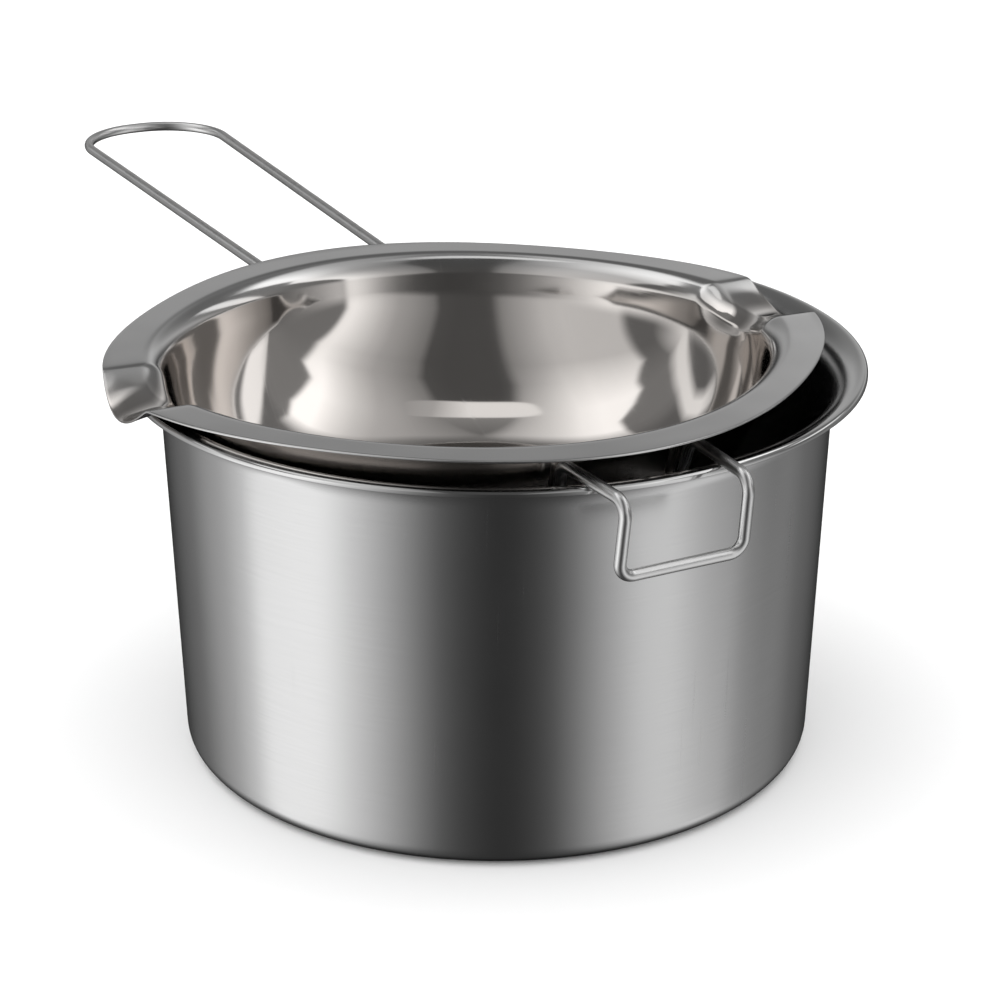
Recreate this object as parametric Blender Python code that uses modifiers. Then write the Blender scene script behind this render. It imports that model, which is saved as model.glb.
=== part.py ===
"""Candle melting pot: a pouring bowl with wire handles, resting on the rim of a drawn steel water pot.

Metres, +Z up. The origin is the centre of the water pot's flat base. The bowl's long handle points
along +Y, its short rim hook along -Y, and its two pouring spouts along -X and +X.
"""

import math

import bpy
from mathutils import Vector

GAP = 0.0003                    # between two pieces that touch

# Water pot
SHEET = 0.0008                  # steel sheet of the pot and of the bowl
RIM_RADIUS = 0.135
POT_HEIGHT = 0.1475
WALL_TOP_RADIUS = 0.1227        # outer wall where the flare starts
WALL_BASE_RADIUS = 0.1178       # outer wall carried straight down to the floor
BASE_CORNER = 0.0075            # radius between wall and base
RIM_CURL = 0.0005               # inner radius of the rim's rolled edge
RIM_LIP = 0.0010                # straight end of the rolled edge
FLARE_RADIUS = RIM_RADIUS - SHEET - RIM_CURL - WALL_TOP_RADIUS
POT_STEPS = 72
CURL_SEGMENTS = 3
FLARE_SEGMENTS = 6
CORNER_SEGMENTS = 5

# Bowl, in its own frame: the flange's top face is z = 0 and the bowl hangs below it
BOWL_CENTRE = Vector((-0.0122, -0.0021, 0.1560))
TILT_TO_HANDLE = math.radians(1.22)
TILT_TO_SIDE = math.radians(0.22)
FLANGE_RADIUS = 0.1299
FLANGE_FLAT_RADIUS = 0.1200     # inside this the flange rolls over into the bowl
MOUTH_ROLL = 0.0120
WALL_ANGLE = math.radians(82)   # slope of the bowl's wall just under the mouth
BOWL_CORNER = 0.0630            # radius of the wall, which runs smoothly into the flat floor
LOBE = 0.0037                   # the flange swells by this at the handle, hook and spouts
LOBE_FADE = 5                   # power of the radius with which the swelling fades
BOWL_STEPS = 96
ROLL_SEGMENTS = 5
WALL_SEGMENTS = 9
SPOUT_CROWDING = 0.25           # radians by which the bowl's divisions gather at the spouts

# Pouring spouts pressed into the flange
SPOUT_HALF_WIDTH = 0.0240
SPOUT_TURN = math.radians(-0.9) # the spouts sit slightly off the line across the bowl
SPOUT_DEPTH = 0.0100            # at the flange's edge
SPOUT_MOUTH_DEPTH = 0.0040      # where the trough meets the bowl
SPOUT_START = 0.25              # part of the trough's length over which it leaves the bowl's wall
SPOUT_CURVE = 1.6               # the trough falls faster towards its lip

# Wires, in the bowl's frame
WIRE_RADIUS = 0.0021
BEND_STEP = math.radians(15)
HANDLE_DROP = SHEET + GAP + WIRE_RADIUS   # the bars touch the flange's underside at its edge
HANDLE_RISE = TILT_TO_HANDLE    # makes the handle level when the bowl is on the pot
HANDLE_END = 0.3585             # far end of the handle's centre line
HANDLE_NEAR_WIDTH = 0.0529
HANDLE_FAR_WIDTH = 0.0645
HANDLE_NEAR_OFFSET = -0.0020    # the handle's middle lies slightly to one side of the bowl's
HANDLE_FAR_OFFSET = -0.0008
HANDLE_END_BEND = 0.0300
HANDLE_KNEE_BEND = 0.0098
HOOK_DROP = 0.0088              # below the flange, where the arms lie on the pot's rim
HOOK_FALL = math.radians(2.4)
HOOK_TURN = math.radians(-2.7)  # the hook sits slightly off the handle's line
HOOK_ELBOW = 0.1496             # distance of the elbows from the bowl's axis
HOOK_NEAR_WIDTH = 0.0500
HOOK_ELBOW_WIDTH = 0.0464
HOOK_BAR_WIDTH = 0.0474
HOOK_HANG = 0.0270              # height of the hook's hanging part
HOOK_LEAN = 0.0040              # it leans back towards the pot by this
HOOK_BEND = 0.0055
LEG_FOOT_DEPTH = 0.0240         # the legs end this far below the flange
LEG_RADIUS_TOP = 0.1141         # a leg's distance from the bowl's axis, at the level of the bars
LEG_RADIUS_FOOT = 0.1092

# Weld beads at the feet of the wires' legs
BEAD_LENGTH = 0.0060
BEAD_HEIGHT = 0.0044
BEAD_THICKNESS = 0.0022
BEAD_INSET = 0.0006             # beads lie this much closer to the bowl's wall than the legs


def clear_scene():
    for old in list(bpy.data.objects):
        bpy.data.objects.remove(old, do_unlink=True)


def make_collection(name):
    collection = bpy.data.collections.new(name)
    bpy.context.scene.collection.children.link(collection)
    return collection


def steel(name, colour, roughness):
    """A bare stainless steel surface."""
    material = bpy.data.materials.new(name)
    material.use_nodes = True
    shader = material.node_tree.nodes["Principled BSDF"]
    shader.inputs["Base Color"].default_value = (*colour, 1.0)
    shader.inputs["Metallic"].default_value = 1.0
    shader.inputs["Roughness"].default_value = roughness
    return material


def arc(centre, radius, start, end, segments):
    """Points (r, z) on a circle, from one angle to another."""
    points = []
    for i in range(segments + 1):
        angle = start + (end - start) * i / segments
        points.append((centre[0] + radius * math.cos(angle), centre[1] + radius * math.sin(angle)))
    return points


def turned_surface(name, profile, steps, collection):
    """An open surface: the profile (r, z) turned about the Z axis by a Screw modifier."""
    mesh = bpy.data.meshes.new(name)
    vertices = [(r, 0.0, z) for r, z in profile]
    edges = [(i, i + 1) for i in range(len(profile) - 1)]
    mesh.from_pydata(vertices, edges, [])
    surface = bpy.data.objects.new(name, mesh)
    collection.objects.link(surface)
    screw = surface.modifiers.new("turn", "SCREW")
    screw.axis = "Z"
    screw.steps = steps
    screw.render_steps = steps
    screw.use_merge_vertices = True
    screw.merge_threshold = 0.00001
    screw.use_smooth_shade = True
    return surface


def thicken(surface, offset):
    solid = surface.modifiers.new("sheet", "SOLIDIFY")
    solid.thickness = SHEET
    solid.offset = offset
    solid.use_even_offset = True


def pot_profile():
    """Outside of the water pot, from the end of the rolled rim down to the middle of the base."""
    crest = POT_HEIGHT - SHEET
    curl_centre = (RIM_RADIUS - SHEET - RIM_CURL, crest - RIM_CURL)
    flare_centre = (WALL_TOP_RADIUS + FLARE_RADIUS, crest - FLARE_RADIUS)
    slope = math.atan2(WALL_TOP_RADIUS - WALL_BASE_RADIUS, flare_centre[1])
    corner_r = WALL_BASE_RADIUS + math.tan(slope) * BASE_CORNER - BASE_CORNER / math.cos(slope)
    points = [(RIM_RADIUS - SHEET, curl_centre[1] - RIM_LIP)]
    points += arc(curl_centre, RIM_CURL, 0.0, math.pi / 2, CURL_SEGMENTS)
    points += arc(flare_centre, FLARE_RADIUS, math.pi / 2, math.pi, FLARE_SEGMENTS)[1:]
    points += arc((corner_r, BASE_CORNER), BASE_CORNER, -slope, -math.pi / 2, CORNER_SEGMENTS)
    points.append((0.0, 0.0))
    return points


def make_water_pot(collection):
    pot = turned_surface("water_pot", pot_profile(), POT_STEPS, collection)
    thicken(pot, -1.0)
    pot.data.materials.append(steel("water_pot", (0.62, 0.62, 0.62), 0.22))
    return pot


def bowl_profile():
    """Inside of the bowl, from the flange's edge down to the middle of the floor."""
    roll_centre = (FLANGE_FLAT_RADIUS, -MOUTH_ROLL)
    points = [(FLANGE_RADIUS, 0.0), (0.5 * (FLANGE_RADIUS + FLANGE_FLAT_RADIUS), 0.0)]
    points += arc(roll_centre, MOUTH_ROLL, math.pi / 2, math.pi / 2 + WALL_ANGLE, ROLL_SEGMENTS)
    wall_top_r, wall_top_z = points[-1]
    corner_centre = (
        wall_top_r - BOWL_CORNER * math.sin(WALL_ANGLE),
        wall_top_z + BOWL_CORNER * math.cos(WALL_ANGLE),
    )
    wall_start = WALL_ANGLE - math.pi / 2
    points += arc(corner_centre, BOWL_CORNER, wall_start, -math.pi / 2, WALL_SEGMENTS)[1:]
    points.append((0.0, points[-1][1]))
    return points


def smooth_step(value):
    value = min(max(value, 0.0), 1.0)
    return value * value * (3.0 - 2.0 * value)


def spout_drop(x, y):
    """How far the spouts' troughs lie below the flange at a point of the bowl's frame."""
    radius = math.hypot(x, y)
    across = min(abs(y - math.tan(SPOUT_TURN) * x) / SPOUT_HALF_WIDTH, 1.0)
    trough_start = FLANGE_FLAT_RADIUS - MOUTH_ROLL
    along = (radius - trough_start) / (FLANGE_RADIUS + LOBE - trough_start)
    along = min(max(along, 0.0), 1.0)
    fall = SPOUT_MOUTH_DEPTH + (SPOUT_DEPTH - SPOUT_MOUTH_DEPTH) * along ** SPOUT_CURVE
    return fall * smooth_step(along / SPOUT_START) * (1.0 - across * across)


def shape_bowl_point(point):
    """Move a point of the turned bowl to its place on the lobed bowl with its spouts."""
    radius = math.hypot(point.x, point.y)
    if radius < GAP:
        return point
    angle = math.atan2(point.y, point.x)
    angle -= SPOUT_CROWDING * math.sin(2.0 * angle)
    radius += LOBE * (radius / FLANGE_RADIUS) ** LOBE_FADE * math.cos(4.0 * angle)
    x = radius * math.cos(angle)
    y = radius * math.sin(angle)
    return Vector((x, y, point.z - spout_drop(x, y)))


def make_melting_bowl(collection, carrier):
    """The bowl: a turned dish, drawn out at the lobes and pressed down at the spouts."""
    turned = turned_surface("bowl_turned", bowl_profile(), BOWL_STEPS, collection)
    evaluated = turned.evaluated_get(bpy.context.evaluated_depsgraph_get())
    mesh = bpy.data.meshes.new_from_object(evaluated)
    bpy.data.objects.remove(turned, do_unlink=True)
    mesh.name = "melting_bowl"
    for vertex in mesh.vertices:
        vertex.co = shape_bowl_point(vertex.co)
    bowl = bpy.data.objects.new("melting_bowl", mesh)
    collection.objects.link(bowl)
    bowl.parent = carrier
    thicken(bowl, 1.0)
    bowl.data.materials.append(steel("melting_bowl", (0.66, 0.63, 0.61), 0.08))
    return bowl


def rounded_path(corners, bends):
    """A chain of points through the corners, with an arc of the given radius at each inner one."""
    path = [corners[0]]
    for before, corner, after, bend in zip(corners, corners[1:], corners[2:], bends):
        into = (corner - before).normalized()
        out = (after - corner).normalized()
        turn = into.angle(out)
        middle = (out - into).normalized()
        centre = corner + middle * (bend / math.cos(turn / 2.0))
        start = corner - into * (bend * math.tan(turn / 2.0)) - centre
        sideways = into * bend
        steps = math.ceil(turn / BEND_STEP)
        for i in range(steps + 1):
            angle = turn * i / steps
            path.append(centre + start * math.cos(angle) + sideways * math.sin(angle))
    path.append(corners[-1])
    return path


def make_wire(name, path, collection, carrier):
    """A round wire along the path, with flat ends."""
    curve = bpy.data.curves.new(name, "CURVE")
    curve.dimensions = "3D"
    curve.bevel_depth = WIRE_RADIUS
    curve.bevel_resolution = 2
    curve.use_fill_caps = True
    spline = curve.splines.new("POLY")
    spline.points.add(len(path) - 1)
    for target, place in zip(spline.points, path):
        target.co = (*place, 1.0)
    wire = bpy.data.objects.new(name, curve)
    collection.objects.link(wire)
    wire.parent = carrier
    wire.data.materials.append(steel(name, (0.60, 0.60, 0.60), 0.20))
    return wire


def leg(x, direction, level):
    """Foot and knee of the leg whose bar runs at x. direction is +1 at the handle, -1 at the hook."""
    bearing = math.asin(x / LEG_RADIUS_TOP)
    radial = Vector((math.sin(bearing), direction * math.cos(bearing), 0.0))
    foot = radial * LEG_RADIUS_FOOT
    foot.z = -LEG_FOOT_DEPTH
    knee = radial * LEG_RADIUS_TOP
    knee.z = level
    return foot, knee


def handle_corners():
    """Corners of the long handle's centre line, from one foot round to the other."""
    def level(y):
        return -HANDLE_DROP + math.tan(HANDLE_RISE) * (y - FLANGE_RADIUS - LOBE)

    end = HANDLE_END - BOWL_CENTRE.y
    corners = []
    for side in (-1.0, 1.0):
        near_x = HANDLE_NEAR_OFFSET + side * HANDLE_NEAR_WIDTH / 2.0
        far_x = HANDLE_FAR_OFFSET + side * HANDLE_FAR_WIDTH / 2.0
        foot, knee = leg(near_x, 1.0, level(LEG_RADIUS_TOP))
        half = [foot, knee, Vector((far_x, end, level(end)))]
        corners += half if side < 0.0 else half[::-1]
    return corners


def hook_corners():
    """Corners of the rim hook's centre line, from one foot round to the other."""
    def level(distance):
        return -HOOK_DROP - math.tan(HOOK_FALL) * (distance - FLANGE_RADIUS)

    elbow_z = level(HOOK_ELBOW)
    corners = []
    for side in (-1.0, 1.0):
        foot, knee = leg(side * HOOK_NEAR_WIDTH / 2.0, -1.0, level(LEG_RADIUS_TOP))
        elbow = Vector((side * HOOK_ELBOW_WIDTH / 2.0, -HOOK_ELBOW, elbow_z))
        bar_end = Vector((side * HOOK_BAR_WIDTH / 2.0, -HOOK_ELBOW + HOOK_LEAN, elbow_z - HOOK_HANG))
        half = [foot, knee, elbow, bar_end]
        corners += half if side < 0.0 else half[::-1]
    return corners


def make_weld_bead(name, foot, collection, carrier):
    """A small rounded bead just under the foot of a leg, against the bowl's wall."""
    bpy.ops.mesh.primitive_uv_sphere_add(segments=12, ring_count=8, radius=1.0)
    bead = bpy.context.active_object
    bead.name = name
    bead.data.name = name
    for collection_in_use in list(bead.users_collection):
        collection_in_use.objects.unlink(bead)
    collection.objects.link(bead)
    for vertex in bead.data.vertices:
        vertex.co.x *= BEAD_LENGTH / 2.0
        vertex.co.y *= BEAD_THICKNESS / 2.0
        vertex.co.z *= BEAD_HEIGHT / 2.0
    bead.data.shade_smooth()
    bead.data.materials.append(steel(name, (0.50, 0.48, 0.46), 0.35))
    inward = Vector((-foot.x, -foot.y, 0.0)).normalized()
    bead.parent = carrier
    below = Vector((0.0, 0.0, -BEAD_HEIGHT / 2.0 - 2.0 * GAP))
    bead.location = foot + below + inward * BEAD_INSET
    bead.rotation_euler = (0.0, 0.0, math.atan2(inward.y, inward.x) - math.pi / 2.0)
    return bead


def main():
    clear_scene()
    parts = make_collection("candle_melting_pot")
    make_water_pot(parts)

    carrier = bpy.data.objects.new("bowl_carrier", None)
    carrier.location = BOWL_CENTRE
    carrier.rotation_euler = (-TILT_TO_HANDLE, TILT_TO_SIDE, 0.0)
    parts.objects.link(carrier)
    make_melting_bowl(parts, carrier)

    corners = handle_corners()
    bends = [HANDLE_KNEE_BEND, HANDLE_END_BEND, HANDLE_END_BEND, HANDLE_KNEE_BEND]
    make_wire("long_handle", rounded_path(corners, bends), parts, carrier)
    make_weld_bead("handle_weld_left", corners[0], parts, carrier)
    make_weld_bead("handle_weld_right", corners[-1], parts, carrier)

    hook_carrier = bpy.data.objects.new("hook_carrier", None)
    hook_carrier.parent = carrier
    hook_carrier.rotation_euler = (0.0, 0.0, -HOOK_TURN)
    parts.objects.link(hook_carrier)
    corners = hook_corners()
    make_wire("rim_hook", rounded_path(corners, [HOOK_BEND] * (len(corners) - 2)), parts, hook_carrier)
    make_weld_bead("hook_weld_left", corners[0], parts, hook_carrier)
    make_weld_bead("hook_weld_right", corners[-1], parts, hook_carrier)


main()
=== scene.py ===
import math

import bpy
from mathutils import Euler, Matrix, Vector, noise


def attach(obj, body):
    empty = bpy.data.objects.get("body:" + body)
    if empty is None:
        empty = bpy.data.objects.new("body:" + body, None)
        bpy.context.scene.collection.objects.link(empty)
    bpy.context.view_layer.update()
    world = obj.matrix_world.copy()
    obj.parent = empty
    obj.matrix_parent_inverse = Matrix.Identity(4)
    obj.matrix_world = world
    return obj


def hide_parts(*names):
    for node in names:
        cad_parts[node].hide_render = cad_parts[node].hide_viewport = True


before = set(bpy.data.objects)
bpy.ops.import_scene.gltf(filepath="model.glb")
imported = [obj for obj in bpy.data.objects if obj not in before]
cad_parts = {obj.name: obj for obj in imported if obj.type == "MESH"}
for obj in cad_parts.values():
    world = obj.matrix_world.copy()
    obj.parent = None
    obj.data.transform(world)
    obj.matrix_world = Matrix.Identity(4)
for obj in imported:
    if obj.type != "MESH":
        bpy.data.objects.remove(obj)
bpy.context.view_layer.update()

# All sizes are in metres and repeat the frame's own, apart from the bowl's edge round its mouth, which is
# tighter here. The origin is the centre of the pot's flat base.

# Water pot
GAP = 0.0003
SHEET = 0.0008
RIM_RADIUS = 0.135
POT_HEIGHT = 0.1475
WALL_TOP_RADIUS = 0.1227
WALL_BASE_RADIUS = 0.1178
BASE_CORNER = 0.0075
RIM_CURL = 0.0005
RIM_LIP = 0.0010
FLARE_RADIUS = RIM_RADIUS - SHEET - RIM_CURL - WALL_TOP_RADIUS
EDGE_ROUNDING = 0.00028         # the sheet's cut edges are deburred by this much
POT_STEPS = 360
CURL_STEPS = 6
FLARE_STEPS = 18
POT_WALL_STEPS = 28
POT_CORNER_STEPS = 12
BASE_STEPS = 14

# Bowl, in its own frame: the flange's top face is z = 0 and the bowl hangs below it
BOWL_CENTRE = Vector((-0.0122, -0.0021, 0.1560))
TILT_TO_HANDLE = math.radians(1.22)
TILT_TO_SIDE = math.radians(0.22)
FLANGE_RADIUS = 0.1299
MOUTH_ROLL = 0.0085
WALL_ANGLE = math.radians(79)
WALL_FOOT = (0.10775, -0.01355)  # where the straight wall runs into the rounded one
BOWL_CORNER = 0.0630
LOBE = 0.0037
LOBE_FADE = 5
BOWL_STEPS = 480
FLANGE_STEPS = 12
ROLL_STEPS = 18
BOWL_WALL_STEPS = 10
BOWL_CORNER_STEPS = 52
FLOOR_STEPS = 16
SPOUT_CROWDING = 0.25
SPOUT_HALF_WIDTH = 0.0240
SPOUT_TURN = math.radians(-0.9)
SPOUT_DEPTH = 0.0100
SPOUT_MOUTH_DEPTH = 0.0065
SPOUT_START = 0.1080
SPOUT_CURVE = 3.0
SPOUT_FADE = 0.0180             # depth on the wall at which the trough has died out
SPOUT_CREASE = 0.10             # softness of the creases along a trough

# Wires, in the bowl's frame
WIRE_RADIUS = 0.0021
WIRE_SIDES = 28
BEND_STEP = math.radians(4)
RUN_STEP = 0.0030
HANDLE_DROP = SHEET + GAP + WIRE_RADIUS
HANDLE_RISE = TILT_TO_HANDLE
HANDLE_END = 0.3585
HANDLE_NEAR_WIDTH = 0.0529
HANDLE_FAR_WIDTH = 0.0645
HANDLE_NEAR_OFFSET = -0.0020
HANDLE_FAR_OFFSET = -0.0008
HANDLE_END_BEND = 0.0300
HANDLE_KNEE_BEND = 0.0098
HOOK_DROP = 0.0088
HOOK_FALL = math.radians(2.4)
HOOK_TURN = math.radians(-2.7)
HOOK_ELBOW = 0.1496
HOOK_NEAR_WIDTH = 0.0500
HOOK_ELBOW_WIDTH = 0.0464
HOOK_BAR_WIDTH = 0.0474
HOOK_HANG = 0.0270
HOOK_LEAN = 0.0040
HOOK_BEND = 0.0055
LEG_FOOT_DEPTH = 0.0240
LEG_RADIUS_TOP = 0.1141
LEG_RADIUS_FOOT = 0.1092
LEG_FLAT_LENGTH = 0.0110        # the foot of each leg is pressed flat over this length
LEG_FLAT_WIDTH = 0.0027
LEG_FLAT_DEPTH = 0.0013
LEG_FLAT_END = 0.3              # share of that length which is fully flat
WIRE_END_ROUNDING = 0.0007
WIRE_END_STEPS = (0.00006, 0.0002, 0.0004, WIRE_END_ROUNDING)

# Weld beads
BEAD_LENGTH = 0.0060
BEAD_HEIGHT = 0.0044
BEAD_THICKNESS = 0.0022
BEAD_INSET = 0.0006
BEAD_DROP = 2.0 * GAP
BEAD_LUMPS = 0.07
BEAD_LUMP_SCALE = 1.6
BEAD_RIPPLE = 0.025
BEAD_RIPPLES = 14.0

# Camera and the directions it gives the studio
CAMERA_PLACE = Vector((-0.4290, -0.8820, 0.4873))
CAMERA_AIM = Vector((0.0, 0.0, 0.0901))
CAMERA_LENS = 102.1
CAMERA_SHIFT = 0.0036
AWAY = Vector((-CAMERA_PLACE.x, -CAMERA_PLACE.y, 0.0)).normalized()
RIGHT = Vector((AWAY.y, -AWAY.x, 0.0))

# Studio. Brightness 1 is the white that the camera sees behind the pot
DARK_ROOM = 0.075
OVERHEAD_PANEL_FRONT = 97.0     # degrees from the camera's horizon
OVERHEAD_PANEL_HALF_HEIGHT = 8.0
OVERHEAD_PANEL_HALF_WIDTH = 0.32
FLOOR_HALF_SIZE = 8.0
FLOOR_LIGHT_POWER = 3.1
FLOOR_LIGHT_SPREAD = math.radians(100)
FLOOR_LIGHT_TURN = (math.radians(8), math.radians(-10), 0.0)


# ---------------------------------------------------------------- shapes shared by pot and bowl

def smooth_step(value):
    value = min(max(value, 0.0), 1.0)
    return value * value * (3.0 - 2.0 * value)


def arc(centre, radius, start, end, segments):
    """Points (r, z) on a circle, from one angle to another."""
    points = []
    for i in range(segments + 1):
        angle = start + (end - start) * i / segments
        points.append((centre[0] + radius * math.cos(angle), centre[1] + radius * math.sin(angle)))
    return points


def line(start, end, segments):
    """Points after the start, up to and with the end."""
    points = []
    for i in range(1, segments + 1):
        t = i / segments
        points.append((start[0] + (end[0] - start[0]) * t, start[1] + (end[1] - start[1]) * t))
    return points


def add_object(name, vertices, faces, place=Matrix.Identity(4)):
    mesh = bpy.data.meshes.new(name)
    mesh.from_pydata([tuple(v) for v in vertices], [], faces)
    mesh.validate()
    mesh.shade_smooth()
    piece = bpy.data.objects.new(name, mesh)
    bpy.context.scene.collection.objects.link(piece)
    piece.matrix_world = place
    return piece


def turned_sheet(name, profile, steps, reshape, place=Matrix.Identity(4)):
    """The profile (r, z), which ends on the axis, turned about Z and reshaped point by point."""
    rings = profile[:-1]
    vertices = []
    for r, z in rings:
        for step in range(steps):
            angle = 2.0 * math.pi * step / steps
            vertices.append(reshape(Vector((r * math.cos(angle), r * math.sin(angle), z))))
    vertices.append(reshape(Vector((0.0, 0.0, profile[-1][1]))))
    faces = []
    for ring in range(len(rings) - 1):
        for step in range(steps):
            following = (step + 1) % steps
            near = ring * steps
            far = near + steps
            faces.append((near + step, far + step, far + following, near + following))
    last = (len(rings) - 1) * steps
    for step in range(steps):
        faces.append((last + step, len(vertices) - 1, last + (step + 1) % steps))
    return add_object(name, vertices, faces, place)


def make_sheet_metal(piece, offset):
    """Gives an open surface its thickness, and rounds the cut edge."""
    solid = piece.modifiers.new("sheet", "SOLIDIFY")
    solid.thickness = SHEET
    solid.offset = offset
    solid.use_even_offset = True
    rounded = piece.modifiers.new("deburred_edge", "BEVEL")
    rounded.width = EDGE_ROUNDING
    rounded.segments = 3
    rounded.limit_method = "ANGLE"
    rounded.angle_limit = math.radians(60)
    rounded.harden_normals = False


# ---------------------------------------------------------------- water pot

def pot_profile():
    """Outside of the water pot, from the end of the rolled rim down to the middle of the base."""
    crest = POT_HEIGHT - SHEET
    curl_centre = (RIM_RADIUS - SHEET - RIM_CURL, crest - RIM_CURL)
    flare_centre = (WALL_TOP_RADIUS + FLARE_RADIUS, crest - FLARE_RADIUS)
    slope = math.atan2(WALL_TOP_RADIUS - WALL_BASE_RADIUS, flare_centre[1])
    corner_r = WALL_BASE_RADIUS + math.tan(slope) * BASE_CORNER - BASE_CORNER / math.cos(slope)
    corner = arc((corner_r, BASE_CORNER), BASE_CORNER, -slope, -math.pi / 2, POT_CORNER_STEPS)
    points = [(RIM_RADIUS - SHEET, curl_centre[1] - RIM_LIP)]
    points += arc(curl_centre, RIM_CURL, 0.0, math.pi / 2, CURL_STEPS)
    points += arc(flare_centre, FLARE_RADIUS, math.pi / 2, math.pi, FLARE_STEPS)[1:]
    points += line(points[-1], corner[0], POT_WALL_STEPS)
    points += corner[1:]
    points += line(corner[-1], (0.0, 0.0), BASE_STEPS)
    return points


def make_water_pot():
    pot = turned_sheet("pot_body", pot_profile(), POT_STEPS, lambda point: point)
    make_sheet_metal(pot, -1.0)
    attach(pot, "pot")
    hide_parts("water_pot")
    return pot


# ---------------------------------------------------------------- bowl

BOWL_TILT = Euler((-TILT_TO_HANDLE, TILT_TO_SIDE, 0.0))
BOWL_PLACE = Matrix.Translation(BOWL_CENTRE) @ BOWL_TILT.to_matrix().to_4x4()
HOOK_PLACE = BOWL_PLACE @ Matrix.Rotation(-HOOK_TURN, 4, "Z")


def bowl_profile():
    """Inside of the bowl, from the flange's edge down to the middle of the floor."""
    foot_r, foot_z = WALL_FOOT
    roll_end_z = -MOUTH_ROLL * (1.0 - math.cos(WALL_ANGLE))
    roll_end_r = foot_r + (roll_end_z - foot_z) / math.tan(WALL_ANGLE)
    roll_centre = (roll_end_r + MOUTH_ROLL * math.sin(WALL_ANGLE), -MOUTH_ROLL)
    roll = arc(roll_centre, MOUTH_ROLL, math.pi / 2, math.pi / 2 + WALL_ANGLE, ROLL_STEPS)
    corner_centre = (
        foot_r - BOWL_CORNER * math.sin(WALL_ANGLE),
        foot_z + BOWL_CORNER * math.cos(WALL_ANGLE),
    )
    corner = arc(corner_centre, BOWL_CORNER, WALL_ANGLE - math.pi / 2, -math.pi / 2, BOWL_CORNER_STEPS)
    points = [(FLANGE_RADIUS, 0.0)]
    points += line(points[0], roll[0], FLANGE_STEPS)
    points += roll[1:]
    points += line(roll[-1], corner[0], BOWL_WALL_STEPS)
    points += corner[1:]
    points += line(corner[-1], (0.0, corner[-1][1]), FLOOR_STEPS)
    return points


def spout_drop(point):
    """How far the spouts' troughs lie below a point of the bowl: less and less down its wall."""
    radius = math.hypot(point.x, point.y)
    across = (point.y - math.tan(SPOUT_TURN) * point.x) / SPOUT_HALF_WIDTH
    along = (radius - SPOUT_START) / (FLANGE_RADIUS + LOBE - SPOUT_START)
    along = min(max(along, 0.0), 1.0)
    fall = SPOUT_MOUTH_DEPTH + (SPOUT_DEPTH - SPOUT_MOUTH_DEPTH) * along ** SPOUT_CURVE
    section = 1.0 - across * across
    section = 0.5 * (section + math.hypot(section, SPOUT_CREASE))
    return fall * section * smooth_step(1.0 + point.z / SPOUT_FADE)


def shape_bowl_point(point):
    """Move a point of the turned bowl to its place on the lobed bowl with its spouts."""
    radius = math.hypot(point.x, point.y)
    if radius == 0.0:
        return point
    angle = math.atan2(point.y, point.x)
    angle -= SPOUT_CROWDING * math.sin(2.0 * angle)
    radius += LOBE * (radius / FLANGE_RADIUS) ** LOBE_FADE * math.cos(4.0 * angle)
    moved = Vector((radius * math.cos(angle), radius * math.sin(angle), point.z))
    moved.z -= spout_drop(moved)
    return moved


def make_bowl():
    bowl = turned_sheet("bowl_body", bowl_profile(), BOWL_STEPS, shape_bowl_point, BOWL_PLACE)
    make_sheet_metal(bowl, 1.0)
    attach(bowl, "bowl")
    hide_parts("melting_bowl")
    return bowl


# ---------------------------------------------------------------- wires

def rounded_path(corners, bends):
    """A chain of points through the corners, with an arc of the given radius at each inner one."""
    path = [corners[0]]
    for before, corner, after, bend in zip(corners, corners[1:], corners[2:], bends):
        into = (corner - before).normalized()
        out = (after - corner).normalized()
        turn = into.angle(out)
        middle = (out - into).normalized()
        centre = corner + middle * (bend / math.cos(turn / 2.0))
        start = corner - into * (bend * math.tan(turn / 2.0)) - centre
        sideways = into * bend
        steps = math.ceil(turn / BEND_STEP)
        for i in range(steps + 1):
            angle = turn * i / steps
            path.append(centre + start * math.cos(angle) + sideways * math.sin(angle))
    path.append(corners[-1])
    return path


def divided(path, longest):
    """The same path with its long straight runs cut into short steps."""
    fine = [path[0]]
    for start, end in zip(path, path[1:]):
        pieces = max(1, math.ceil((end - start).length / longest))
        for i in range(1, pieces + 1):
            fine.append(start.lerp(end, i / pieces))
    return fine


def path_frames(path):
    """Tangent and one sideways direction at each point, carried along without twist."""
    tangents = []
    for i in range(len(path)):
        before = path[max(i - 1, 0)]
        after = path[min(i + 1, len(path) - 1)]
        tangents.append((after - before).normalized())
    outward = Vector((path[0].x, path[0].y, 0.0))
    sideways = [(outward - outward.project(tangents[0])).normalized()]
    for before, tangent in zip(tangents, tangents[1:]):
        turn = before.rotation_difference(tangent)
        sideways.append((turn @ sideways[-1]).normalized())
    outward = Vector((path[-1].x, path[-1].y, 0.0))
    wanted = (outward - outward.project(tangents[-1])).normalized()
    last = sideways[-1]
    twist = math.atan2(last.cross(wanted).dot(tangents[-1]), last.dot(wanted))
    for i, tangent in enumerate(tangents):
        share = twist * i / (len(tangents) - 1)
        sideways[i] = Matrix.Rotation(share, 3, tangent) @ sideways[i]
    return tangents, sideways


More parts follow.
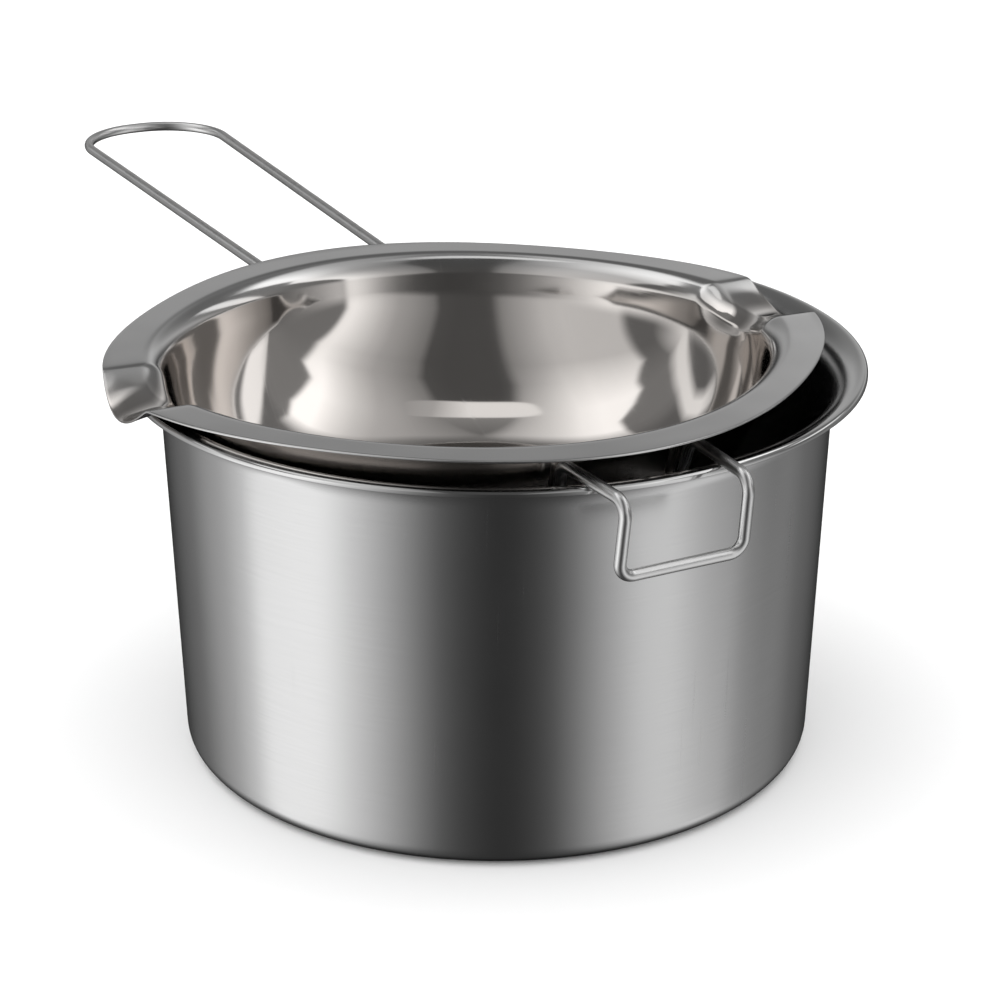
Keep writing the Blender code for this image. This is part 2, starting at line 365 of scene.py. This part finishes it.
def wire_section(to_end):
    """Half depth and half width of the wire at a distance from its nearer end."""
    fading = (1.0 - LEG_FLAT_END) * LEG_FLAT_LENGTH
    flat = 1.0 - smooth_step((to_end - LEG_FLAT_END * LEG_FLAT_LENGTH) / fading)
    depth = WIRE_RADIUS + (LEG_FLAT_DEPTH - WIRE_RADIUS) * flat
    width = WIRE_RADIUS + (LEG_FLAT_WIDTH - WIRE_RADIUS) * flat
    rounding = WIRE_END_ROUNDING
    if to_end < rounding:
        shrink = rounding - math.sqrt(rounding ** 2 - (rounding - to_end) ** 2)
        depth -= shrink
        width -= shrink
    return depth, width


def make_wire(name, corners, bends, place):
    """A round drawn wire along the corners, its two feet pressed flat against the bowl."""
    path = divided(rounded_path(corners, bends), RUN_STEP)
    first = (path[1] - path[0]).normalized()
    last = (path[-2] - path[-1]).normalized()
    path = [path[0]] + [path[0] + first * d for d in WIRE_END_STEPS] + path[1:]
    path = path[:-1] + [path[-1] + last * d for d in reversed(WIRE_END_STEPS)] + [path[-1]]
    tangents, sideways = path_frames(path)
    run = [0.0]
    for before, after in zip(path, path[1:]):
        run.append(run[-1] + (after - before).length)
    vertices = []
    for point, tangent, side, distance in zip(path, tangents, sideways, run):
        depth, width = wire_section(min(distance, run[-1] - distance))
        other = tangent.cross(side)
        for i in range(WIRE_SIDES):
            angle = 2.0 * math.pi * i / WIRE_SIDES
            vertices.append(point + side * (depth * math.cos(angle)) + other * (width * math.sin(angle)))
    faces = []
    for ring in range(len(path) - 1):
        for i in range(WIRE_SIDES):
            j = (i + 1) % WIRE_SIDES
            near = ring * WIRE_SIDES
            far = near + WIRE_SIDES
            faces.append((near + i, near + j, far + j, far + i))
    faces.append(tuple(reversed(range(WIRE_SIDES))))
    start = (len(path) - 1) * WIRE_SIDES
    faces.append(tuple(range(start, start + WIRE_SIDES)))
    wire = add_object(name, vertices, faces, place)
    layer = wire.data.uv_layers.new(name="along_wire")
    for polygon in wire.data.polygons:
        for loop in polygon.loop_indices:
            vertex = wire.data.loops[loop].vertex_index
            ring, i = divmod(vertex, WIRE_SIDES)
            layer.data[loop].uv = (run[ring], i / WIRE_SIDES)
    return wire


def leg(x, direction, level):
    """Foot and knee of the leg whose bar runs at x. direction is +1 at the handle, -1 at the hook."""
    bearing = math.asin(x / LEG_RADIUS_TOP)
    radial = Vector((math.sin(bearing), direction * math.cos(bearing), 0.0))
    foot = radial * LEG_RADIUS_FOOT
    foot.z = -LEG_FOOT_DEPTH
    knee = radial * LEG_RADIUS_TOP
    knee.z = level
    return foot, knee


def handle_corners():
    """Corners of the long handle's centre line, from one foot round to the other."""
    def level(y):
        return -HANDLE_DROP + math.tan(HANDLE_RISE) * (y - FLANGE_RADIUS - LOBE)

    end = HANDLE_END - BOWL_CENTRE.y
    corners = []
    for side in (-1.0, 1.0):
        near_x = HANDLE_NEAR_OFFSET + side * HANDLE_NEAR_WIDTH / 2.0
        far_x = HANDLE_FAR_OFFSET + side * HANDLE_FAR_WIDTH / 2.0
        foot, knee = leg(near_x, 1.0, level(LEG_RADIUS_TOP))
        half = [foot, knee, Vector((far_x, end, level(end)))]
        corners += half if side < 0.0 else half[::-1]
    return corners


def hook_corners():
    """Corners of the rim hook's centre line, from one foot round to the other."""
    def level(distance):
        return -HOOK_DROP - math.tan(HOOK_FALL) * (distance - FLANGE_RADIUS)

    elbow_z = level(HOOK_ELBOW)
    corners = []
    for side in (-1.0, 1.0):
        foot, knee = leg(side * HOOK_NEAR_WIDTH / 2.0, -1.0, level(LEG_RADIUS_TOP))
        elbow = Vector((side * HOOK_ELBOW_WIDTH / 2.0, -HOOK_ELBOW, elbow_z))
        bar_end = Vector((side * HOOK_BAR_WIDTH / 2.0, -HOOK_ELBOW + HOOK_LEAN, elbow_z - HOOK_HANG))
        half = [foot, knee, elbow, bar_end]
        corners += half if side < 0.0 else half[::-1]
    return corners


def make_long_handle():
    corners = handle_corners()
    bends = [HANDLE_KNEE_BEND, HANDLE_END_BEND, HANDLE_END_BEND, HANDLE_KNEE_BEND]
    handle = make_wire("handle_wire", corners, bends, BOWL_PLACE)
    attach(handle, "bowl")
    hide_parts("long_handle")
    return handle, corners


def make_rim_hook():
    corners = hook_corners()
    hook = make_wire("hook_wire", corners, [HOOK_BEND] * (len(corners) - 2), HOOK_PLACE)
    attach(hook, "bowl")
    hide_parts("rim_hook")
    return hook, corners


# ---------------------------------------------------------------- weld beads

def make_weld_bead(name, node, foot, place):
    """A rippled bead of weld metal under the foot of a leg, against the bowl's wall."""
    rows = 24
    columns = 40
    seed = Vector((foot.x, foot.y, foot.z)) * 900.0
    vertices = []
    for row in range(1, rows):
        polar = math.pi * row / rows
        for column in range(columns):
            angle = 2.0 * math.pi * column / columns
            direction = Vector((
                math.sin(polar) * math.cos(angle),
                math.sin(polar) * math.sin(angle),
                math.cos(polar),
            ))
            lump = 1.0 + BEAD_LUMPS * noise.noise(direction * BEAD_LUMP_SCALE + seed)
            lump += BEAD_RIPPLE * math.cos(BEAD_RIPPLES * direction.x)
            vertices.append(Vector((
                direction.x * BEAD_LENGTH / 2.0,
                direction.y * BEAD_THICKNESS / 2.0,
                direction.z * BEAD_HEIGHT / 2.0,
            )) * lump)
    vertices.append(Vector((0.0, 0.0, BEAD_HEIGHT / 2.0)))
    vertices.append(Vector((0.0, 0.0, -BEAD_HEIGHT / 2.0)))
    faces = []
    for row in range(rows - 2):
        for column in range(columns):
            following = (column + 1) % columns
            upper = row * columns
            lower = upper + columns
            faces.append((upper + column, lower + column, lower + following, upper + following))
    top = len(vertices) - 2
    bottom = len(vertices) - 1
    last = (rows - 2) * columns
    for column in range(columns):
        following = (column + 1) % columns
        faces.append((top, column, following))
        faces.append((bottom, last + following, last + column))
    inward = Vector((-foot.x, -foot.y, 0.0)).normalized()
    centre = foot + Vector((0.0, 0.0, -BEAD_HEIGHT / 2.0 - BEAD_DROP)) + inward * BEAD_INSET
    turn = Matrix.Rotation(math.atan2(inward.y, inward.x) - math.pi / 2.0, 4, "Z")
    bead = add_object(name, vertices, faces, place @ Matrix.Translation(centre) @ turn)
    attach(bead, "bowl")
    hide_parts(node)
    return bead


# ---------------------------------------------------------------- shader helpers

class Shading:
    """Adds nodes to one node tree and joins them up."""

    def __init__(self, tree):
        self.tree = tree

    def node(self, kind, **settings):
        made = self.tree.nodes.new(kind)
        for name, value in settings.items():
            setattr(made, name, value)
        return made

    def feed(self, socket, value):
        if isinstance(value, bpy.types.NodeSocket):
            self.tree.links.new(value, socket)
        else:
            socket.default_value = value

    def math(self, operation, *values):
        made = self.node("ShaderNodeMath", operation=operation)
        for socket, value in zip(made.inputs, values):
            self.feed(socket, value)
        return made.outputs[0]

    def vector(self, x, y, z):
        made = self.node("ShaderNodeCombineXYZ")
        for socket, value in zip(made.inputs, (x, y, z)):
            self.feed(socket, value)
        return made.outputs[0]

    def dot(self, vector, direction):
        made = self.node("ShaderNodeVectorMath", operation="DOT_PRODUCT")
        self.feed(made.inputs[0], vector)
        made.inputs[1].default_value = direction
        return made.outputs["Value"]

    def noise(self, vector, scale, detail=3.0, roughness=0.5):
        made = self.node("ShaderNodeTexNoise")
        self.feed(made.inputs["Vector"], vector)
        made.inputs["Scale"].default_value = scale
        made.inputs["Detail"].default_value = detail
        made.inputs["Roughness"].default_value = roughness
        return made.outputs["Fac"]

    def remap(self, value, low, high, to_low, to_high, smooth=False):
        made = self.node("ShaderNodeMapRange", interpolation_type="SMOOTHSTEP" if smooth else "LINEAR")
        for socket, number in zip(made.inputs, (value, low, high, to_low, to_high)):
            self.feed(socket, number)
        return made.outputs[0]

    def curve(self, value, stops):
        """A chain of straight lines through the stops (value, result)."""
        low = stops[0][0]
        high = stops[-1][0]
        made = self.node("ShaderNodeValToRGB")
        steps = made.color_ramp.elements
        steps.remove(steps[-1])
        for i, (at, result) in enumerate(stops):
            place = (at - low) / (high - low)
            step = steps[0] if i == 0 else steps.new(place)
            step.position = place
            step.color = (result, result, result, 1.0)
        self.feed(made.inputs[0], self.remap(value, low, high, 0.0, 1.0))
        return made.outputs[0]

    def mix(self, amount, first, second):
        made = self.node("ShaderNodeMix", data_type="RGBA")
        self.feed(made.inputs[0], amount)
        self.feed(made.inputs[6], first)
        self.feed(made.inputs[7], second)
        return made.outputs[2]

    def bump(self, height, distance, strength, normal=None):
        made = self.node("ShaderNodeBump")
        made.inputs["Strength"].default_value = strength
        made.inputs["Distance"].default_value = distance
        self.feed(made.inputs["Height"], height)
        if normal is not None:
            self.feed(made.inputs["Normal"], normal)
        return made.outputs[0]


def steel_shader(name, metallic=1.0):
    material = bpy.data.materials.new(name)
    material.use_nodes = True
    shading = Shading(material.node_tree)
    shader = material.node_tree.nodes["Principled BSDF"]
    shader.inputs["Metallic"].default_value = metallic
    return material, shading, shader


def scratches(shading, coordinates, turn, density):
    """Sparse thin streaks that run in one direction."""
    mapping = shading.node("ShaderNodeMapping")
    shading.feed(mapping.inputs["Vector"], coordinates)
    mapping.inputs["Rotation"].default_value = turn
    mapping.inputs["Scale"].default_value = (900.0, 14.0, 14.0)
    streak = shading.noise(mapping.outputs[0], 1.0, detail=1.0)
    return shading.remap(streak, density, density + 0.05, 0.0, 1.0)


def turned_grain(shading, coordinates, around, across):
    """Noise drawn out round the Z axis: the marks that polishing on a lathe leaves."""
    parts = shading.node("ShaderNodeSeparateXYZ")
    shading.feed(parts.inputs[0], coordinates)
    x, y, z = parts.outputs
    squares = shading.math("ADD", shading.math("MULTIPLY", x, x), shading.math("MULTIPLY", y, y))
    radius = shading.math("MAXIMUM", shading.math("SQRT", squares), 0.001)
    run = shading.math("ADD", radius, z)
    grain_at = shading.vector(
        shading.math("MULTIPLY", shading.math("DIVIDE", x, radius), around),
        shading.math("MULTIPLY", shading.math("DIVIDE", y, radius), around),
        shading.math("MULTIPLY", run, across),
    )
    return shading.noise(grain_at, 1.0, detail=4.0, roughness=0.6), radius, z


def pot_material():
    """Satin steel, brushed round the pot, a little brighter where the rim is worn."""
    material, shading, shader = steel_shader("satin_brushed_steel")
    place = shading.node("ShaderNodeTexCoord").outputs["Object"]
    grain, _, z = turned_grain(shading, place, 5.0, 2600.0)
    smudge = shading.noise(place, 22.0, detail=3.0)
    streak = scratches(shading, place, (0.3, 0.9, 0.4), 0.72)
    rim = shading.remap(z, POT_HEIGHT - 0.0030, POT_HEIGHT, 0.0, 1.0)
    tone = shading.mix(smudge, (0.600, 0.600, 0.602, 1.0), (0.660, 0.658, 0.655, 1.0))
    tone = shading.mix(shading.remap(grain, 0.3, 0.7, 0.0, 0.20), tone, (0.56, 0.56, 0.56, 1.0))
    tone = shading.mix(shading.math("MULTIPLY", rim, 0.5), tone, (0.72, 0.72, 0.71, 1.0))
    shading.feed(shader.inputs["Base Color"], tone)
    rough = shading.remap(grain, 0.25, 0.75, 0.17, 0.22)
    rough = shading.math("ADD", rough, shading.remap(smudge, 0.3, 0.7, -0.02, 0.03))
    rough = shading.math("SUBTRACT", rough, shading.math("MULTIPLY", rim, 0.10))
    rough = shading.math("ADD", rough, shading.math("MULTIPLY", streak, 0.06))
    shading.feed(shader.inputs["Roughness"], rough)
    shader.inputs["Anisotropic"].default_value = 0.75
    shader.inputs["Anisotropic Rotation"].default_value = 0.25
    tangent = shading.node("ShaderNodeTangent", direction_type="RADIAL", axis="Z")
    shading.feed(shader.inputs["Tangent"], tangent.outputs[0])
    relief = shading.bump(grain, 0.0000012, 0.5)
    relief = shading.bump(streak, 0.000002, 0.2, relief)
    shading.feed(shader.inputs["Normal"], relief)
    return material


def bowl_material():
    """Mirror-polished steel, slightly warm, not quite even from drawing, with fine wipe marks."""
    material, shading, shader = steel_shader("mirror_polished_steel")
    place = shading.node("ShaderNodeTexCoord").outputs["Object"]
    grain, radius, z = turned_grain(shading, place, 4.0, 3200.0)
    smudge = shading.noise(place, 30.0, detail=4.0, roughness=0.6)
    wave = shading.noise(place, 26.0, detail=1.0)
    streak = shading.math(
        "MAXIMUM",
        scratches(shading, place, (0.2, 0.5, 0.9), 0.73),
        scratches(shading, place, (0.7, 0.2, 2.1), 0.74),
    )
    edge = shading.remap(radius, FLANGE_RADIUS - 0.0020, FLANGE_RADIUS + 0.0010, 0.0, 1.0)
    inside = shading.remap(z, -0.0090, -0.0010, 1.0, 0.0, smooth=True)
    warm = shading.mix(smudge, (0.665, 0.628, 0.600, 1.0), (0.715, 0.682, 0.655, 1.0))
    cool = shading.mix(smudge, (0.600, 0.598, 0.595, 1.0), (0.655, 0.652, 0.648, 1.0))
    tone = shading.mix(inside, cool, warm)
    tone = shading.mix(shading.math("MULTIPLY", streak, 0.10), tone, (0.80, 0.79, 0.78, 1.0))
    shading.feed(shader.inputs["Base Color"], tone)
    rough = shading.remap(smudge, 0.35, 0.70, 0.045, 0.085)
    rough = shading.math("ADD", rough, shading.remap(inside, 0.0, 1.0, 0.075, 0.0))
    rough = shading.math("ADD", rough, shading.remap(grain, 0.3, 0.7, -0.010, 0.015))
    rough = shading.math("ADD", rough, shading.math("MULTIPLY", streak, 0.04))
    rough = shading.math("ADD", rough, shading.math("MULTIPLY", edge, 0.08))
    shading.feed(shader.inputs["Roughness"], rough)
    relief = shading.bump(wave, 0.00042, 0.5)
    relief = shading.bump(grain, 0.0000012, 0.5, relief)
    relief = shading.bump(streak, 0.000004, 0.25, relief)
    shading.feed(shader.inputs["Normal"], relief)
    return material


def wire_material():
    """Drawn wire: fine lines along it, slightly duller patches, and sparse rougher nicks."""
    material, shading, shader = steel_shader("drawn_steel_wire")
    coordinates = shading.node("ShaderNodeTexCoord")
    place = coordinates.outputs["Object"]
    parts = shading.node("ShaderNodeSeparateXYZ")
    shading.feed(parts.inputs[0], coordinates.outputs["UV"])
    turn = shading.math("MULTIPLY", parts.outputs[1], 2.0 * math.pi)
    drawn_at = shading.vector(
        shading.math("MULTIPLY", parts.outputs[0], 18.0),
        shading.math("MULTIPLY", shading.math("COSINE", turn), 9.0),
        shading.math("MULTIPLY", shading.math("SINE", turn), 9.0),
    )
    drawn = shading.noise(drawn_at, 1.0, detail=5.0, roughness=0.7)
    smudge = shading.noise(place, 60.0, detail=3.0)
    nick = shading.remap(shading.noise(place, 420.0, detail=2.0), 0.70, 0.76, 0.0, 1.0)
    tone = shading.mix(smudge, (0.73, 0.728, 0.725, 1.0), (0.81, 0.808, 0.805, 1.0))
    tone = shading.mix(shading.remap(drawn, 0.35, 0.70, 0.0, 0.4), tone, (0.62, 0.618, 0.615, 1.0))
    shading.feed(shader.inputs["Base Color"], tone)
    rough = shading.remap(drawn, 0.3, 0.7, 0.24, 0.34)
    rough = shading.math("ADD", rough, shading.remap(smudge, 0.3, 0.7, -0.03, 0.04))
    rough = shading.math("ADD", rough, shading.math("MULTIPLY", nick, 0.10))
    shading.feed(shader.inputs["Roughness"], rough)
    relief = shading.bump(drawn, 0.000012, 0.6)
    relief = shading.bump(nick, 0.00002, 0.4, relief)
    shading.feed(shader.inputs["Normal"], relief)
    return material


def weld_material():
    """Dull weld metal with a straw and blue heat tint."""
    material, shading, shader = steel_shader("weld_metal")
    place = shading.node("ShaderNodeTexCoord").outputs["Object"]
    tint = shading.noise(place, 380.0, detail=2.0)
    grit = shading.noise(place, 2600.0, detail=4.0, roughness=0.7)
    blue = (0.34, 0.36, 0.42, 1.0)
    grey = (0.50, 0.48, 0.46, 1.0)
    straw = (0.56, 0.46, 0.32, 1.0)
    tone = shading.mix(shading.remap(tint, 0.35, 0.50, 0.0, 1.0), blue, grey)
    tone = shading.mix(shading.remap(tint, 0.52, 0.68, 0.0, 0.8), tone, straw)
    shading.feed(shader.inputs["Base Color"], tone)
    shading.feed(shader.inputs["Roughness"], shading.remap(grit, 0.25, 0.75, 0.30, 0.52))
    shading.feed(shader.inputs["Normal"], shading.bump(grit, 0.00005, 0.5))
    return material


# ---------------------------------------------------------------- studio

def side_box(shading, outward, front, glow, inner_shift, outer_shift, gain, inner_foot):
    """One big softbox beside the camera, whose outer edge is abrupt and whose inner one fades.

    glow is its brightness across. The shifts move its two edges inwards, each by height. gain is
    how much brighter its top is, and inner_foot how many degrees higher its inner end starts.
    """
    light = shading.curve(shading.math("ADD", outward, shading.curve(front, inner_shift)), glow)
    edge = shading.math("ADD", outward, shading.curve(front, outer_shift))
    light = shading.math("MULTIPLY", light, shading.remap(edge, 0.83, 0.88, 1.0, 0.12, smooth=True))
    light = shading.math("MULTIPLY", light, shading.remap(front, 60.0, 100.0, 1.0, gain))
    above_foot = shading.math("SUBTRACT", front, shading.remap(outward, 0.2, 0.8, inner_foot, 0.0))
    light = shading.math("MULTIPLY", light, shading.remap(above_foot, 3.0, 8.0, 0.0, 1.0, smooth=True))
    return shading.math("MULTIPLY", light, shading.remap(front, 122.0, 132.0, 1.0, 0.0))


def bands(shading, across, front):
    """Narrow strip lights at both sides, the panel overhead and the grey wall behind the pot."""
    off_right = shading.math("SUBTRACT", across, shading.curve(
        front, [(116.0, 0.99), (124.0, 0.90), (132.0, 0.80), (140.0, 0.66), (148.0, 0.56)]))
    right = shading.math(
        "MULTIPLY",
        shading.remap(off_right, -0.03, 0.05, 0.0, 1.0, smooth=True),
        shading.curve(front, [
            (90.0, 0.2), (108.0, 0.5), (132.0, 1.15), (148.0, 1.2), (152.0, 0.2), (156.0, 0.05),
        ]),
    )
    off_left = shading.math("ADD", across, shading.curve(
        front, [(90.0, 1.02), (108.0, 0.95), (124.0, 0.86), (140.0, 0.73), (148.0, 0.72), (160.0, 0.80)]))
    left = shading.math(
        "MULTIPLY",
        shading.remap(shading.math("ABSOLUTE", off_left), 0.03, 0.11, 1.0, 0.0),
        shading.curve(front, [
            (20.0, 0.2), (76.0, 0.7), (100.0, 0.9), (148.0, 1.0), (160.0, 0.5), (166.0, 0.1),
        ]),
    )
    sideways = shading.math("DIVIDE", across, OVERHEAD_PANEL_HALF_WIDTH)
    along = shading.math("SUBTRACT", front, OVERHEAD_PANEL_FRONT)
    along = shading.math("DIVIDE", along, OVERHEAD_PANEL_HALF_HEIGHT)
    from_middle = shading.math(
        "ADD",
        shading.math("POWER", shading.math("ABSOLUTE", sideways), 4.0),
        shading.math("POWER", shading.math("ABSOLUTE", along), 4.0),
    )
    overhead = shading.math(
        "MULTIPLY",
        shading.remap(from_middle, 0.5, 1.1, 1.0, 0.0, smooth=True),
        shading.curve(across, [(-0.30, 1.0), (-0.02, 1.0), (0.12, 0.5), (0.30, 0.4)]),
    )
    beyond = shading.math(
        "MULTIPLY",
        shading.curve(front, [(98.0, 0.0), (103.0, 0.30), (130.0, 0.12), (138.0, 0.0)]),
        shading.remap(shading.math("ABSOLUTE", across), 0.26, 0.40, 1.0, 0.0, smooth=True),
    )
    overhead = shading.math("MAXIMUM", overhead, beyond)
    wall = shading.math(
        "MULTIPLY",
        shading.curve(front, [
            (116.0, 0.0), (124.0, 0.24), (131.0, 0.16), (148.0, 0.15),
            (153.0, 0.19), (160.0, 0.30), (166.0, 0.47), (180.0, 0.40),
        ]),
        shading.curve(across, [(-0.30, 0.90), (-0.10, 1.0), (0.03, 0.95), (0.12, 1.35), (0.30, 1.10)]),
    )
    strips = shading.math("MAXIMUM", left, right)
    return shading.math("MAXIMUM", strips, shading.math("MAXIMUM", overhead, wall))


def studio_world():
    """A white room seen by the camera, and a dark one with softboxes seen in the steel.

    front is the height of a direction in degrees, counted from the horizon on the camera's side
    over the zenith (90) to the horizon behind the pot (180).
    """
    world = bpy.data.worlds.new("studio")
    bpy.context.scene.world = world
    world.use_nodes = True
    world.node_tree.nodes.clear()
    shading = Shading(world.node_tree)
    way = shading.node("ShaderNodeTexCoord").outputs["Generated"]
    across = shading.dot(way, RIGHT)
    leftward = shading.dot(way, -RIGHT)
    toward = shading.dot(way, -AWAY)
    rise = shading.dot(way, (0.0, 0.0, 1.0))
    front = shading.math("MULTIPLY", shading.math("ARCTAN2", rise, toward), math.degrees(1.0))
    right = side_box(
        shading, across, front,
        [
            (0.08, 0.01), (0.20, 0.02), (0.25, 0.16), (0.40, 0.30),
            (0.50, 0.38), (0.60, 0.56), (0.70, 0.82), (0.80, 1.12),
        ],
        [(20.0, 0.10), (60.0, 0.0), (72.0, 0.0), (124.0, 0.28)],
        [(20.0, 0.10), (60.0, 0.0), (84.0, 0.0), (92.0, 0.09), (116.0, 0.13), (124.0, 0.20)],
        gain=1.30, inner_foot=5.0,
    )
    left = side_box(
        shading, leftward, front,
        [(0.15, 0.0), (0.23, 0.02), (0.29, 0.22), (0.40, 0.38), (0.50, 0.55), (0.60, 0.62), (0.80, 0.60)],
        [(76.0, 0.0), (100.0, 0.06), (124.0, 0.21)],
        [(76.0, 0.0), (92.0, 0.09), (100.0, 0.11), (108.0, 0.20), (116.0, 0.34), (124.0, 0.38)],
        gain=2.1, inner_foot=4.0,
    )
    high = shading.math("ADD", shading.math("MAXIMUM", left, right), DARK_ROOM)
    high = shading.math("MAXIMUM", high, bands(shading, across, front))
    low = shading.curve(across, [
        (-1.0, 0.85), (-0.90, 1.28), (-0.80, 1.32), (-0.70, 0.94), (-0.60, 0.67),
        (-0.50, 0.45), (-0.40, 0.27), (-0.30, 0.14), (-0.20, 0.085), (-0.10, 0.055),
        (0.0, 0.04), (0.10, 0.045), (0.20, 0.07), (0.30, 0.12), (0.40, 0.24),
        (0.50, 0.41), (0.60, 0.61), (0.70, 0.84), (0.80, 0.90), (0.90, 0.50), (1.0, 0.14),
    ])
    low = shading.math("MULTIPLY", low, shading.curve(
        toward, [(-1.0, 0.30), (-0.60, 0.22), (-0.30, 0.40), (-0.12, 0.65), (0.0, 1.0)]))
    light = shading.mix(shading.remap(rise, 0.02, 0.20, 1.0, 0.0, smooth=True), high, low)
    seen_in_steel = shading.node("ShaderNodeBackground")
    shading.feed(seen_in_steel.inputs["Color"], light)
    seen_directly = shading.node("ShaderNodeBackground")
    seen_directly.inputs["Color"].default_value = (1.0, 1.0, 1.0, 1.0)
    choice = shading.node("ShaderNodeMixShader")
    shading.feed(choice.inputs[0], shading.node("ShaderNodeLightPath").outputs["Is Camera Ray"])
    shading.feed(choice.inputs[1], seen_in_steel.outputs[0])
    shading.feed(choice.inputs[2], seen_directly.outputs[0])
    output = shading.node("ShaderNodeOutputWorld")
    shading.feed(output.inputs[0], choice.outputs[0])


def make_floor():
    half = FLOOR_HALF_SIZE
    corners = [(-half, -half, 0.0), (half, -half, 0.0), (half, half, 0.0), (-half, half, 0.0)]
    floor = add_object("floor", corners, [(0, 1, 2, 3)])
    material = bpy.data.materials.new("pale_floor")
    material.use_nodes = True
    shader = material.node_tree.nodes["Principled BSDF"]
    shader.inputs["Base Color"].default_value = (0.90, 0.90, 0.90, 1.0)
    shader.inputs["Roughness"].default_value = 0.9
    floor.data.materials.append(material)
    floor.visible_glossy = False


def make_floor_light():
    """Soft light from above that only the floor takes up: it isn't seen in the steel."""
    lamp = bpy.data.lights.new("sky_panel", "SUN")
    lamp.energy = FLOOR_LIGHT_POWER
    lamp.angle = FLOOR_LIGHT_SPREAD
    light = bpy.data.objects.new("sky_panel", lamp)
    light.rotation_euler = FLOOR_LIGHT_TURN
    light.visible_glossy = False
    bpy.context.scene.collection.objects.link(light)


def make_camera():
    data = bpy.data.cameras.new("camera")
    data.sensor_width = 36.0
    data.lens = CAMERA_LENS
    data.shift_x = CAMERA_SHIFT
    camera = bpy.data.objects.new("camera", data)
    camera.location = CAMERA_PLACE
    camera.rotation_euler = (CAMERA_AIM - CAMERA_PLACE).to_track_quat("-Z", "Y").to_euler()
    bpy.context.scene.collection.objects.link(camera)
    bpy.context.scene.camera = camera


# ---------------------------------------------------------------- assembly

def main():
    pot = make_water_pot()
    pot.data.materials.append(pot_material())
    bowl = make_bowl()
    bowl.data.materials.append(bowl_material())

    wire_steel = wire_material()
    weld_steel = weld_material()
    handle, handle_route = make_long_handle()
    hook, hook_route = make_rim_hook()
    for wire in (handle, hook):
        wire.data.materials.append(wire_steel)
    welds = [
        make_weld_bead("handle_bead_left", "handle_weld_left", handle_route[0], BOWL_PLACE),
        make_weld_bead("handle_bead_right", "handle_weld_right", handle_route[-1], BOWL_PLACE),
        make_weld_bead("hook_bead_left", "hook_weld_left", hook_route[0], HOOK_PLACE),
        make_weld_bead("hook_bead_right", "hook_weld_right", hook_route[-1], HOOK_PLACE),
    ]
    for weld in welds:
        weld.data.materials.append(weld_steel)

    studio_world()
    make_floor()
    make_floor_light()
    make_camera()
    bpy.context.scene.view_settings.view_transform = "Standard"


main()
bpy.context.view_layer.update()
